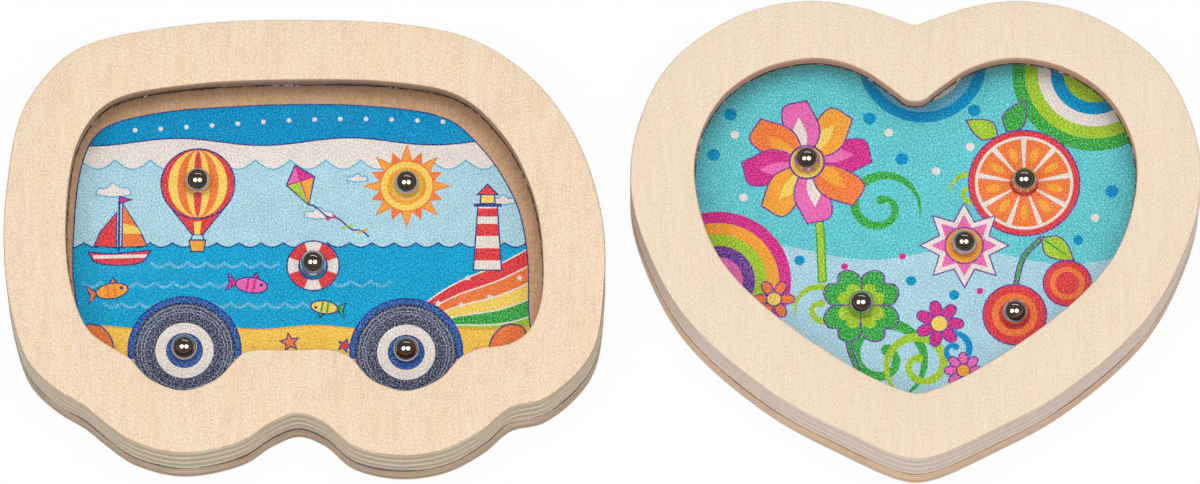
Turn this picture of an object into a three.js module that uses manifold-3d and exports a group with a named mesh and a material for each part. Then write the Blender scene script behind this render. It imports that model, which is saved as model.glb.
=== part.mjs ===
// A pair of hand-held wooden dexterity puzzles, one with a van-shaped outline and one heart-shaped.
// Each is a sandwich of plywood boards glued face to face. The top board has an opening with a clear
// window glued up under its lip, the board below carries a printed picture with five small seats,
// and five steel balls roll between picture and window until each one lies in a seat.
// Millimetres, +Z up. The origin is on the table, in the middle of the pair.
import * as THREE from 'three';
import { mergeVertices } from 'three/addons/utils/BufferGeometryUtils.js';
import Module from 'manifold-3d';

const wasm = await Module();
wasm.setup();

// Boards, from the table upwards
const backThickness = 4;
const floorThickness = 3;
const topThickness = 12;
const edgeEase = 0.8;

// The pocket milled into the top board from below, and the lip that it leaves round the opening
const lipThickness = 4;
const ledgeWidth = 3;

// What lies in the pocket
const windowThickness = 1;
const pictureThickness = 0.2;
const sideClearance = 0.3;

// Balls and their seats
const ballDiameter = 6;
const seatDiameter = 4.4;
const seatClearance = 0.1;

// Outlines, and the rim of wood left at the sides and at the ends of each opening
const vanWidth = 140;
const vanDepth = 107;
const vanSideRim = 14.5;
const vanEndRim = 15.4;
const vanOpeningRise = 0.5;
const heartWidth = 133;
const heartDepth = 112.5;
const heartSideRim = 15;
const heartEndRim = 15.2;
const heartOpeningRise = 0.9;

// The van's picture stops short of the opening, and two round ring targets fill its wheel bumps
const printBelowRings = 2;
const ringDiameter = 23.6;

// How the pair is laid out
const gapBetween = 5.8;
const vanStandsLower = 1.9;

// Counts
const samplesPerPoint = 4;
const seatSides = 20;
const ringSides = 48;
const ballSides = 20;
const ballRows = 12;

// A cutter passes through a face by this much, so that no cut ends flush with it
const overrun = 1;

// Outline points as shares of half the width and half the depth, anticlockwise from the top middle
const vanOutlineShares = [
  [-0.014, 1], [-0.279, 0.991], [-0.551, 0.947], [-0.712, 0.894], [-0.813, 0.816], [-0.939, 0.589],
  [-0.993, 0.213], [-0.998, -0.086], [-0.969, -0.361], [-0.911, -0.577], [-0.822, -0.694],
  [-0.727, -0.772], [-0.659, -0.847], [-0.559, -0.937], [-0.398, -0.987], [-0.203, -0.934],
  [-0.103, -0.848], [-0.017, -0.806], [0.069, -0.848], [0.165, -0.953], [0.317, -0.999],
  [0.47, -0.971], [0.596, -0.882], [0.688, -0.781], [0.801, -0.74], [0.953, -0.545], [0.999, -0.223],
  [0.991, 0.098], [0.904, 0.461], [0.753, 0.737], [0.549, 0.915], [0.317, 0.981],
];
const vanOpeningShares = [
  [-0.019, 1], [-0.479, 0.968], [-0.804, 0.867], [-0.938, 0.64], [-0.995, 0.188], [-0.974, -0.322],
  [-0.892, -0.621], [-0.778, -0.742], [-0.729, -0.787], [-0.637, -0.927], [-0.504, -0.997],
  [-0.366, -0.927], [-0.27, -0.78], [-0.228, -0.745], [-0.05, -0.74], [0.123, -0.739],
  [0.194, -0.783], [0.29, -0.933], [0.427, -1], [0.565, -0.927], [0.657, -0.783], [0.732, -0.729],
  [0.849, -0.704], [0.928, -0.634], [0.983, -0.468], [0.999, -0.175], [0.958, 0.251],
  [0.828, 0.646], [0.632, 0.904], [0.365, 0.984],
];

// The van's picture above its straight foot, as shares of half the opening's width and depth
const vanPictureShares = [
  [0.121, 0.944], [-0.132, 0.942], [-0.301, 0.93], [-0.553, 0.903], [-0.723, 0.858], [-0.805, 0.824],
  [-0.866, 0.772], [-0.914, 0.682], [-0.955, 0.488], [-0.976, 0.16], [-0.977, -0.17], [-0.957, -0.39],
  [-0.94, -0.75], [-0.5, -0.93], [0.5, -0.93], [0.93, -0.75], [0.941, -0.38], [0.937, -0.05],
  [0.911, 0.197], [0.881, 0.331], [0.799, 0.551], [0.712, 0.709], [0.627, 0.824], [0.542, 0.877],
  [0.459, 0.903], [0.29, 0.931],
];

// The heart's right half, from the cleft down to the point; the left half mirrors it
const heartHalfShares = [
  [0, 0.895], [0.063, 0.92], [0.211, 0.978], [0.385, 0.999], [0.606, 0.942], [0.85, 0.738],
  [0.972, 0.456], [0.998, 0.169], [0.94, -0.096], [0.799, -0.4], [0.507, -0.713],
  [0.256, -0.881], [0.076, -0.982], [0, -1],
];
const heartOpeningHalfShares = [
  [0, 0.741], [0.042, 0.751], [0.088, 0.797], [0.139, 0.846], [0.224, 0.921], [0.34, 0.98],
  [0.474, 1], [0.675, 0.944], [0.858, 0.788], [0.97, 0.546], [0.999, 0.281], [0.91, -0.14],
  [0.706, -0.458], [0.282, -0.85], [0.072, -0.979], [0, -1],
];

// Seats, as shares of half the opening's width and depth from its middle, listed from the back left
const vanSeatShares = [
  [-0.454, 0.427],
  [0.425, 0.412],
  [0.033, -0.103],
  [-0.504, -0.648],
  [0.426, -0.66],
];
const heartSeatShares = [
  [-0.489, 0.47],
  [0.496, 0.345],
  [0.222, -0.03],
  [-0.246, -0.392],
  [0.448, -0.444],
];
const vanRingSeats = [3, 4];

// Sizes and heights that follow
const vanOpeningWidth = vanWidth - 2 * vanSideRim;
const vanOpeningDepth = vanDepth - 2 * vanEndRim;
const heartOpeningWidth = heartWidth - 2 * heartSideRim;
const heartOpeningDepth = heartDepth - 2 * heartEndRim;
const floorBottom = backThickness;
const floorTop = floorBottom + floorThickness;
const topFace = floorTop + topThickness;
const windowTop = topFace - lipThickness;
const windowBottom = windowTop - windowThickness;
const pictureTop = floorTop + pictureThickness;
const ballRadius = ballDiameter / 2;
const seatRadius = seatDiameter / 2;
const ballCentreHeight = pictureTop + Math.sqrt((ballRadius + seatClearance) ** 2 - seatRadius ** 2);

const plywood = new THREE.MeshStandardMaterial({ color: 0xf1d9b8, roughness: 0.72, metalness: 0 });
const darkPlywood = new THREE.MeshStandardMaterial({ color: 0xd0ab84, roughness: 0.8, metalness: 0 });
const clearPlastic = new THREE.MeshStandardMaterial({
  color: 0xf6fafa,
  roughness: 0.05,
  metalness: 0,
  transparent: true,
  opacity: 0.15,
});
const vanPrint = new THREE.MeshStandardMaterial({ color: 0x2b9bd0, roughness: 0.6, metalness: 0 });
const heartPrint = new THREE.MeshStandardMaterial({ color: 0x63c3cf, roughness: 0.6, metalness: 0 });
const polishedSteel = new THREE.MeshStandardMaterial({ color: 0xb9b9bb, roughness: 0.12, metalness: 1 });

// Outlines

function mirroredShares(half) {
  const inner = half.slice(1, -1);
  const left = inner.map(([x, y]) => [-x, y]);
  return [half[0], ...left, half[half.length - 1], ...inner.reverse()];
}

// A smooth closed line through the points
function smoothLine(shares) {
  const points = shares.map(([x, y]) => new THREE.Vector3(x, y, 0));
  const curve = new THREE.CatmullRomCurve3(points, true, 'centripetal');
  return curve.getPoints(points.length * samplesPerPoint).slice(0, -1);
}

// A smooth closed curve through the points, scaled and centred so that it spans width by depth
function outline(shares, width, depth, rise = 0) {
  const samples = smoothLine(shares);
  const box = new THREE.Box3().setFromPoints(samples);
  const middle = box.getCenter(new THREE.Vector3());
  const span = box.getSize(new THREE.Vector3());
  return samples.map((p) => new THREE.Vector2(
    ((p.x - middle.x) * width) / span.x,
    ((p.y - middle.y) * depth) / span.y + rise,
  ));
}

// Each point moved outwards by the distance, square to the outline
function moved(points, distance) {
  const count = points.length;
  return points.map((point, i) => {
    const before = points[(i + count - 1) % count];
    const after = points[(i + 1) % count];
    const along = after.clone().sub(before).normalize();
    return new THREE.Vector2(point.x + along.y * distance, point.y - along.x * distance);
  });
}

function distanceToOutline(point, points) {
  let least = Infinity;
  for (let i = 0; i < points.length; i += 1) {
    const start = points[i];
    const side = points[(i + 1) % points.length].clone().sub(start);
    const reach = point.clone().sub(start);
    const share = THREE.MathUtils.clamp(reach.dot(side) / side.lengthSq(), 0, 1);
    least = Math.min(least, reach.sub(side.multiplyScalar(share)).length());
  }
  return least;
}

// A parallel outline: points that a tight inside corner folds back over are left out
function widened(points, distance) {
  const foldShare = 0.98;
  return moved(points, distance).filter((p) => distanceToOutline(p, points) > distance * foldShare);
}

function circle(x, y, radius, sides) {
  return Array.from({ length: sides }, (_, i) => {
    const angle = (i / sides) * Math.PI * 2;
    return new THREE.Vector2(x + radius * Math.cos(angle), y + radius * Math.sin(angle));
  });
}

// Solids

// A flat board between two heights, with holes, and with its outer edges and holes eased at the
// faces that name an ease
function board({ edge, holes = [], bottom, top, easeBottom = 0, easeTop = 0 }) {
  const levels = [[bottom, easeBottom]];
  if (easeBottom > 0) levels.push([bottom + easeBottom, 0]);
  if (easeTop > 0) levels.push([top - easeTop, 0]);
  levels.push([top, easeTop]);
  const loops = [edge, ...holes.map((hole) => [...hole].reverse())];
  const positions = [];
  const triangles = [];
  const rings = loops.map((loop) => levels.map(([height, ease]) => {
    const start = positions.length / 3;
    moved(loop, -ease).forEach((p) => positions.push(p.x, p.y, height));
    return start;
  }));
  loops.forEach((loop, k) => {
    for (let level = 0; level + 1 < levels.length; level += 1) {
      for (let i = 0; i < loop.length; i += 1) {
        const j = (i + 1) % loop.length;
        const lower = rings[k][level];
        const upper = rings[k][level + 1];
        triangles.push(lower + i, lower + j, upper + j, lower + i, upper + j, upper + i);
      }
    }
  });
  [0, levels.length - 1].forEach((level) => {
    const inset = loops.map((loop) => moved(loop, -levels[level][1]));
    const index = loops.flatMap((loop, k) => loop.map((_, i) => rings[k][level] + i));
    THREE.ShapeUtils.triangulateShape(inset[0], inset.slice(1)).forEach(([a, b, c]) => {
      const corners = [index[a], index[b], index[c]];
      triangles.push(...(level === 0 ? corners.reverse() : corners));
    });
  });
  const geometry = new THREE.BufferGeometry();
  geometry.setAttribute('position', new THREE.Float32BufferAttribute(positions, 3));
  geometry.setIndex(triangles);
  return geometry;
}

function toSolid(geometry) {
  const plain = geometry.clone();
  plain.deleteAttribute('normal');
  plain.deleteAttribute('uv');
  const merged = mergeVertices(plain);
  const mesh = new wasm.Mesh({
    numProp: 3,
    vertProperties: new Float32Array(merged.attributes.position.array),
    triVerts: new Uint32Array(merged.index.array),
  });
  return new wasm.Manifold(mesh);
}

function toGeometry(solid) {
  const mesh = solid.getMesh();
  const geometry = new THREE.BufferGeometry();
  geometry.setAttribute('position', new THREE.BufferAttribute(mesh.vertProperties, 3));
  geometry.setIndex(new THREE.BufferAttribute(mesh.triVerts, 1));
  return geometry;
}

// Pieces of one puzzle

function topFrame(edge, opening) {
  const blank = board({ edge, holes: [opening], bottom: floorTop, top: topFace, easeTop: edgeEase });
  const pocket = board({ edge: widened(opening, ledgeWidth), bottom: floorTop - overrun, top: windowTop });
  return toGeometry(toSolid(blank).subtract(toSolid(pocket)));
}

// The outline of anything that lies loose in the pocket
function pocketFill(opening) {
  return widened(opening, ledgeWidth - sideClearance);
}

function seatHoles(seats) {
  return seats.map(([x, y]) => circle(x, y, seatRadius, seatSides));
}

function heartPicture(opening, seats) {
  return board({ edge: pocketFill(opening), holes: seatHoles(seats), bottom: floorTop, top: pictureTop });
}

// The van's print: its body is the opening drawn in at the top and sides and cut straight below,
// two rings are added, and nothing reaches past the pocket
function vanPicture(opening, seats) {
  const box = new THREE.Box2().setFromPoints(opening);
  const middle = box.getCenter(new THREE.Vector2());
  const half = box.getSize(new THREE.Vector2()).divideScalar(2);
  const body = smoothLine(vanPictureShares).map((p) => new THREE.Vector2(
    middle.x + p.x * half.x,
    middle.y + p.y * half.y,
  ));
  const slice = (edge, holes = []) => toSolid(board({ edge, holes, bottom: floorTop, top: pictureTop }));
  const bodyBottom = seats[vanRingSeats[0]][1] - printBelowRings;
  const below = [
    new THREE.Vector2(box.min.x, box.min.y - overrun),
    new THREE.Vector2(box.max.x, box.min.y - overrun),
    new THREE.Vector2(box.max.x, bodyBottom),
    new THREE.Vector2(box.min.x, bodyBottom),
  ];
  const cutter = board({ edge: below, bottom: floorTop - overrun, top: pictureTop + overrun });
  let print = slice(body).subtract(toSolid(cutter));
  vanRingSeats.forEach((i) => {
    print = print.add(slice(circle(...seats[i], ringDiameter / 2, ringSides)));
  });
  print = print.intersect(slice(pocketFill(opening)));
  seatHoles(seats).forEach((hole) => {
    const drill = board({ edge: hole, bottom: floorTop - overrun, top: pictureTop + overrun });
    print = print.subtract(toSolid(drill));
  });
  return toGeometry(print);
}

function named(name, geometry, material) {
  const mesh = new THREE.Mesh(geometry, material);
  mesh.name = name;
  return mesh;
}

function puzzle({ name, edge, opening, openingWidth, openingDepth, rise, seatShares, picture, print }) {
  const seats = seatShares.map(([x, y]) => [(x * openingWidth) / 2, (y * openingDepth) / 2 + rise]);
  const group = new THREE.Group();
  const pane = board({ edge: pocketFill(opening), bottom: windowBottom, top: windowTop });
  const floor = board({ edge, holes: seatHoles(seats), bottom: floorBottom, top: floorTop });
  const back = board({ edge, bottom: 0, top: floorBottom, easeBottom: edgeEase });
  group.add(named(`${name}_back_panel`, back, darkPlywood));
  group.add(named(`${name}_floor_panel`, floor, darkPlywood));
  group.add(named(`${name}_picture`, picture(opening, seats), print));
  group.add(named(`${name}_window`, pane, clearPlastic));
  group.add(named(`${name}_top_frame`, topFrame(edge, opening), plywood));
  seats.forEach(([x, y], i) => {
    const sphere = new THREE.SphereGeometry(ballRadius, ballSides, ballRows);
    const ball = named(`${name}_ball_${i + 1}`, sphere, polishedSteel);
    ball.position.set(x, y, ballCentreHeight);
    group.add(ball);
  });
  return group;
}

const van = puzzle({
  name: 'van',
  edge: outline(vanOutlineShares, vanWidth, vanDepth),
  opening: outline(vanOpeningShares, vanOpeningWidth, vanOpeningDepth, vanOpeningRise),
  openingWidth: vanOpeningWidth,
  openingDepth: vanOpeningDepth,
  rise: vanOpeningRise,
  seatShares: vanSeatShares,
  picture: vanPicture,
  print: vanPrint,
});
const heart = puzzle({
  name: 'heart',
  edge: outline(mirroredShares(heartHalfShares), heartWidth, heartDepth),
  opening: outline(
    mirroredShares(heartOpeningHalfShares),
    heartOpeningWidth,
    heartOpeningDepth,
    heartOpeningRise,
  ),
  openingWidth: heartOpeningWidth,
  openingDepth: heartOpeningDepth,
  rise: heartOpeningRise,
  seatShares: heartSeatShares,
  picture: heartPicture,
  print: heartPrint,
});

// The two lie side by side, flat on the table
const pairWidth = vanWidth + gapBetween + heartWidth;
van.position.set((vanWidth - pairWidth) / 2, -vanStandsLower, 0);
heart.position.set((pairWidth - heartWidth) / 2, 0, 0);

const pair = new THREE.Group();
pair.add(van, heart);

export default pair;
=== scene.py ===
# Two hand-held wooden dexterity puzzles, one van-shaped and one heart-shaped, lying side by side.
# Each is three plywood boards glued face to face round a printed picture, a clear window and
# five loose steel balls, and the sections follow the order in which a maker puts them together.
import math

import bmesh
import bpy
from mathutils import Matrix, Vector
from mathutils.geometry import delaunay_2d_cdt


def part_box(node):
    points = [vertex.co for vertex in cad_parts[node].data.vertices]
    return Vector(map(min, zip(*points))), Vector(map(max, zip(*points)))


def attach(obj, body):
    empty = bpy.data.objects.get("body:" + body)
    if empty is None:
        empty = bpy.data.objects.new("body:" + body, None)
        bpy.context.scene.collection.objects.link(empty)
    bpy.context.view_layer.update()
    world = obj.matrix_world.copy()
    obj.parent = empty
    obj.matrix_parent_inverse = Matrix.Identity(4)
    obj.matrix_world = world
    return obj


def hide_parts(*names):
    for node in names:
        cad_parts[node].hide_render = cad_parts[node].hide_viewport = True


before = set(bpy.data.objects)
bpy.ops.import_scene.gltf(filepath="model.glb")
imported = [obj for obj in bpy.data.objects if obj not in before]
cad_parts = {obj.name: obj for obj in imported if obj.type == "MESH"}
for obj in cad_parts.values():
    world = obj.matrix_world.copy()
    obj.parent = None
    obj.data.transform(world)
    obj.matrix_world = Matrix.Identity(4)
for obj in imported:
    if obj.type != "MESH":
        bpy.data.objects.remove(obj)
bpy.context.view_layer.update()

# Back panels: thin plywood that closes the seats from below, glued under the floor panel.
# The maker rounds its lower edge over, since that edge is what the hand holds. Their outlines
# come from the frame, and Geometry Nodes sweep the edge's section round them.
MM = 0.001
SAME_PLACE = 0.002 * MM
SAMPLES_PER_SIDE = 3
ROWS_PER_PLY = 12
CORNER_TURN = math.radians(50)
SHARPEST_SMOOTH_TURN = math.radians(40)
PUZZLES = ("van", "heart")
PLIES_IN_PANEL = 3
PANEL_EASE = 0.8 * MM
JOINT_EASE = 0.25 * MM
GLUE_GROOVE = 0.04 * MM
PORE = (0.34 * MM, 0.42 * MM, 0.34 * MM)
STREAK = (0.55 * MM, 6 * MM, 0.55 * MM)
BAND = (3.5 * MM, 40 * MM, 3.5 * MM)
TINT_PATCH = (2.6 * MM, 11 * MM, 2.6 * MM)
PORE_STRENGTH = 3.4
STREAK_STRENGTH = 0.9
BAND_STRENGTH = 0.45
TINT_STRENGTH = 0.4
PLY_WAVE = (9 * MM, 9 * MM, 3 * MM)
PLY_WANDER = 0.35 * MM
COARSE_FIBRE = (1.1 * MM, 1.1 * MM, 0.5 * MM)
FINE_FIBRE = (0.4 * MM, 0.4 * MM, 0.4 * MM)
SPECKLE_STRENGTH = 2.6
GLUE_STRENGTH = 0.8
STAIN_PATCH = (14 * MM, 14 * MM, 14 * MM)
STAIN_RAGGED = 1.2 * MM
STAIN_FADE = 0.3 * MM
STAIN_SPREAD = (0.3, 0.65)
GLUE_LINE = (0.03, 0.16)
BELOW_FIRST_PLY = (0.4, 0.6)
BROKEN_GLUE = (0.35, 0.6)
EDGE_STEEPNESS = (0.12, 0.45)
WOOD_RELIEF = 0.05 * MM
WOOD_ROUGHNESS = 0.5
ROUGHER_WHERE_HIGH = 0.12


def flat_outlines(node, height):
    """The closed outlines round a node's flat faces at one height: anticlockwise, largest first."""
    cast = bmesh.new()
    cast.from_mesh(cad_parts[node].data)
    bmesh.ops.remove_doubles(cast, verts=cast.verts, dist=SAME_PLACE)
    level = (f for f in cast.faces if all(abs(v.co.z - height) < SAME_PLACE for v in f.verts))
    flat = dict.fromkeys(level)
    following = {}
    for corner in (c for face in flat for c in face.loops):
        if not any(f in flat for f in corner.edge.link_faces if f is not corner.face):
            following[corner.vert] = corner.link_loop_next.vert
    outlines = []
    while following:
        vert = next(iter(following))
        outline = []
        while vert in following:
            outline.append(vert.co.xy.copy())
            vert = following.pop(vert)
        outlines.append(anticlockwise(outline))
    cast.free()
    return sorted(outlines, key=area, reverse=True)


def area(outline):
    """The area inside an outline, below zero where it runs clockwise."""
    pairs = zip(outline, outline[1:] + outline[:1])
    return sum(a.x * b.y - b.x * a.y for a, b in pairs) / 2


def anticlockwise(outline):
    return outline[::-1] if area(outline) < 0 else outline


def smoothed(outline, steps=SAMPLES_PER_SIDE, corner=CORNER_TURN):
    """The outline with a smooth curve through all points but its corners, in so many steps a side."""
    count = len(outline)
    curve = []
    for i in range(count):
        before, start, end, after = (outline[(i + k) % count] for k in (-1, 0, 1, 2))
        side = end - start
        leaving = side if turn_between(start - before, side) > corner else (end - before) / 2
        arriving = side if turn_between(side, after - end) > corner else (after - start) / 2
        for step in range(steps):
            t = step / steps
            curve.append(
                start * (2 * t**3 - 3 * t**2 + 1)
                + leaving * (t**3 - 2 * t**2 + t)
                + end * (3 * t**2 - 2 * t**3)
                + arriving * (t**3 - t**2)
            )
    return curve


def turn_between(arriving, leaving):
    return arriving.angle(leaving) if arriving.length * leaving.length > 0 else 0


def wire(tree, node, inputs):
    """Wires or sets a node's inputs, by name or number. A node given stands for its first output."""
    for key, value in inputs.items():
        if isinstance(value, bpy.types.Node):
            value = value.outputs[0]
        if isinstance(value, bpy.types.NodeSocket):
            tree.links.new(value, node.inputs[key])
        else:
            node.inputs[key].default_value = value
    return node


def add(tree, kind, inputs=None, **settings):
    """A node of that kind with these settings and inputs."""
    made = tree.nodes.new(kind)
    for name, value in settings.items():
        setattr(made, name, value)
    return wire(tree, made, inputs or {})


def maths(tree, operation, *values, clamp=False):
    """The result of a Math node on these values."""
    made = add(tree, "ShaderNodeMath", dict(enumerate(values)), operation=operation, use_clamp=clamp)
    return made.outputs[0]


def new_tree(kind, name, takes, gives):
    """A node tree with these named inputs and outputs, what its inputs give and its output node."""
    tree = bpy.data.node_groups.new(name, kind)
    for way, sockets in (("INPUT", takes), ("OUTPUT", gives)):
        for label, socket in sockets.items():
            tree.interface.new_socket(label, in_out=way, socket_type=f"NodeSocket{socket}")
    return tree, add(tree, "NodeGroupInput").outputs, add(tree, "NodeGroupOutput")


def new_shape_tree(name, takes):
    """A Geometry Nodes tree that takes these inputs between its geometry and its material."""
    takes = {"Geometry": "Geometry", **takes, "Material": "Material"}
    return new_tree("GeometryNodeTree", name, takes, {"Geometry": "Geometry"})


def end_shape_tree(tree, given, made, shape):
    """Ends such a tree with its shape made real and given the material."""
    realized = add(tree, "GeometryNodeRealizeInstances", {"Geometry": shape})
    finish = add(tree, "GeometryNodeSetMaterial", {"Geometry": realized, "Material": given["Material"]})
    wire(tree, made, {"Geometry": finish})
    return tree


def grown(obj, tree, **sizes):
    """The plain mesh that the tree makes from an object, with the tree's inputs set by name."""
    modifier = obj.modifiers.new(tree.name, "NODES")
    modifier.node_group = tree
    for socket in tree.interface.items_tree:
        key = socket.name.lower().replace(" ", "_")
        if socket.in_out == "INPUT" and key in sizes:
            modifier[socket.identifier] = sizes[key]
    obj.update_tag()
    seen = obj.evaluated_get(bpy.context.evaluated_depsgraph_get())
    mesh = bpy.data.meshes.new_from_object(seen)
    obj.modifiers.remove(modifier)
    return mesh


def board_edge_tree():
    """Sweeps a board's edge round its outline: rounded arrises, and a fine groove at each glue line."""
    lengths = ("Bottom", "Top", "Bottom Ease", "Top Ease", "Board Top", "Ply", "Groove")
    tree, given, made = new_shape_tree("Board edge", {**dict.fromkeys(lengths, "Float"), "Rows": "Int"})
    line = add(tree, "GeometryNodeCurvePrimitiveLine", {"Start": (0, 0, 0), "End": (0, 1, 0)})
    rows = add(tree, "GeometryNodeResampleCurve", {"Curve": line, "Count": given["Rows"]})
    along = add(tree, "GeometryNodeSplineParameter").outputs["Factor"]
    tall = maths(tree, "SUBTRACT", given["Top"], given["Bottom"])
    even = maths(tree, "MULTIPLY_ADD", along, tall, given["Bottom"])
    above_bottom = maths(tree, "SUBTRACT", even, given["Bottom"])
    below_top = maths(tree, "SUBTRACT", given["Top"], even)
    height = even
    inset = 0
    for ease, reach, way in ((given["Bottom Ease"], above_bottom, -1), (given["Top Ease"], below_top, 1)):
        turn = maths(tree, "MULTIPLY", maths(tree, "DIVIDE", reach, ease, clamp=True), math.pi / 2)
        drawn_in = maths(tree, "SUBTRACT", 1, maths(tree, "SINE", turn))
        inset = maths(tree, "MULTIPLY_ADD", drawn_in, ease, inset)
        on_arc = maths(tree, "MULTIPLY", maths(tree, "SUBTRACT", 1, maths(tree, "COSINE", turn)), ease)
        shift = maths(tree, "SUBTRACT", maths(tree, "MINIMUM", reach, ease), on_arc)
        height = maths(tree, "MULTIPLY_ADD", shift, way, height)
    plies = maths(tree, "DIVIDE", maths(tree, "SUBTRACT", given["Board Top"], height), given["Ply"])
    off_line = maths(tree, "MULTIPLY", maths(tree, "PINGPONG", plies, 0.5), ROWS_PER_PLY / 2)
    cut = maths(tree, "MULTIPLY", maths(tree, "SUBTRACT", 1, off_line, clamp=True), given["Groove"])
    half_ply = maths(tree, "DIVIDE", given["Ply"], 2)
    inner = maths(
        tree, "MULTIPLY",
        maths(tree, "GREATER_THAN", below_top, half_ply),
        maths(tree, "GREATER_THAN", above_bottom, half_ply),
    )
    inset = maths(tree, "MULTIPLY_ADD", cut, inner, inset)
    spot = add(tree, "ShaderNodeCombineXYZ", {"X": inset, "Y": maths(tree, "MULTIPLY", height, -1)})
    section = add(tree, "GeometryNodeSetPosition", {"Geometry": rows, "Position": spot})
    path = add(tree, "GeometryNodeSetCurveNormal", {"Curve": given["Geometry"]}, mode="Z_UP")
    swept = add(tree, "GeometryNodeCurveToMesh", {"Curve": path, "Profile Curve": section})
    return end_shape_tree(tree, given, made, swept)


def in_scene(name, data):
    """An object with that data, linked into the scene."""
    made = bpy.data.objects.new(name, data)
    bpy.context.scene.collection.objects.link(made)
    return made


def closed_lines(name, outlines, clockwise):
    """A curve object with a closed line for each outline, run clockwise or anticlockwise."""
    data = bpy.data.curves.new(name, "CURVE")
    data.dimensions = "3D"
    for outline in outlines:
        points = outline[::-1] if clockwise else outline
        spline = data.splines.new("POLY")
        spline.points.add(len(points) - 1)
        for point, place in zip(spline.points, points):
            point.co = (*place, 0, 1)
        spline.use_cyclic_u = True
    return in_scene(name, data)


def board(name, ply, walls, flats, material):
    """A plywood board: its walls are swept round their outlines, and flats close what they leave open.

    A wall is (outlines, is a hole, bottom, top, bottom ease, top ease, material).
    """
    finishes = [material]
    board_top = max(wall[3] for wall in walls)
    cut = bmesh.new()
    for outlines, hole, bottom, top, bottom_ease, top_ease, finish in walls:
        if finish not in finishes:
            finishes.append(finish)
        lines = closed_lines(name, outlines, clockwise=not hole)
        edge = grown(
            lines, board_edge, bottom=bottom, top=top, bottom_ease=bottom_ease, top_ease=top_ease,
            board_top=board_top, ply=ply, groove=GLUE_GROOVE, material=finish,
            rows=math.ceil((top - bottom) / ply * ROWS_PER_PLY - SAME_PLACE) + 1,
        )
        bpy.data.objects.remove(lines)
        already = len(cut.faces)
        cut.from_mesh(edge)
        cut.faces.ensure_lookup_table()
        for face in cut.faces[already:]:
            face.material_index = finishes.index(finish)
    for height, way in flats:
        level = [
            edge for edge in cut.edges
            if edge.is_boundary and all(abs(v.co.z - height) < SAME_PLACE for v in edge.verts)
        ]
        filled = bmesh.ops.triangle_fill(cut, edges=level, use_beauty=True, normal=(0, 0, way))
        for face in (f for f in filled["geom"] if isinstance(f, bmesh.types.BMFace)):
            if face.normal.z * way < 0:
                face.normal_flip()
    for face in cut.faces:
        face.smooth = True
    return piece(name, cut, finishes)


def piece(name, shape, finishes):
    """An object at the origin made from a finished bmesh, smooth but for its sharp arrises."""
    mesh = bpy.data.meshes.new(name)
    shape.to_mesh(mesh)
    shape.free()
    mesh.set_sharp_from_angle(angle=SHARPEST_SMOOTH_TURN)
    for finish in finishes:
        mesh.materials.append(finish)
    return in_scene(name, mesh)


def colour(red, green, blue):
    """The linear colour of a tone given as on a colour chart, each part from 0 to 255."""
    shares = (part / 255 for part in (red, green, blue))
    return (*(((s + 0.055) / 1.055) ** 2.4 if s > 0.04045 else s / 12.92 for s in shares), 1)


def mixed(tree, share, first, second):
    """The colour that a Mix node makes of two."""
    return add(tree, "ShaderNodeMix", {0: share, 6: first, 7: second}, data_type="RGBA").outputs[2]


def rising(tree, value, low, high):
    """0 up to low and 1 from high on, and smoothly between them."""
    made = add(
        tree, "ShaderNodeMapRange", {"Value": value, "From Min": low, "From Max": high},
        interpolation_type="SMOOTHSTEP",
    )
    return made.outputs[0]


def vector_maths(tree, operation, *values):
    """The result of a Vector Math node on these values."""
    return add(tree, "ShaderNodeVectorMath", dict(enumerate(values)), operation=operation).outputs[0]


def noise(tree, place, cell, cut=0.0, detail=2.0, roughness=0.5):
    """Noise on a place divided by a cell's size along each axis, and by the cut that it is taken from."""
    made = add(
        tree, "ShaderNodeTexNoise",
        {
            "Vector": vector_maths(tree, "DIVIDE", place, cell), "W": cut, "Scale": 1,
            "Detail": detail, "Roughness": roughness,
        },
        noise_dimensions="4D",
    )
    return made.outputs["Fac"]


def bumpy(tree, height, strength, relief):
    """The shading of a surface that rises by up to its relief."""
    return add(tree, "ShaderNodeBump", {"Strength": strength, "Distance": relief, "Height": height})


def wood_grain_group():
    """Rotary-cut veneer with its grain along Y: fine streaks and pores over soft patches of tone."""
    tree, given, made = new_tree(
        "ShaderNodeTree", "Wood grain",
        {"Streak": "Color", "Pale": "Color", "Ruddy": "Color", "Cool": "Color", "Cut": "Float"},
        {"Color": "Color", "Height": "Float"},
    )
    place = add(tree, "ShaderNodeTexCoord").outputs["Object"]
    cut = given["Cut"]
    pores = noise(tree, place, PORE, cut, detail=1, roughness=0.6)
    streaks = noise(tree, place, STREAK, cut)
    bands = noise(tree, place, BAND, cut)
    share = 0.5
    for pattern, strength in (
        (pores, PORE_STRENGTH), (streaks, STREAK_STRENGTH), (bands, BAND_STRENGTH),
    ):
        share = maths(tree, "MULTIPLY_ADD", maths(tree, "SUBTRACT", pattern, 0.5), strength, share)
    shade = mixed(tree, maths(tree, "ADD", share, 0, clamp=True), given["Pale"], given["Streak"])
    tint = noise(tree, place, TINT_PATCH, maths(tree, "ADD", cut, 5), detail=1)
    for tone, low, high in (("Ruddy", 0.52, 0.75), ("Cool", 0.48, 0.25)):
        tinted = maths(tree, "MULTIPLY", rising(tree, tint, low, high), TINT_STRENGTH)
        shade = mixed(tree, tinted, shade, given[tone])
    height = maths(tree, "MULTIPLY_ADD", streaks, 0.5, pores)
    wire(tree, made, {"Color": shade, "Height": height})
    return tree


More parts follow.
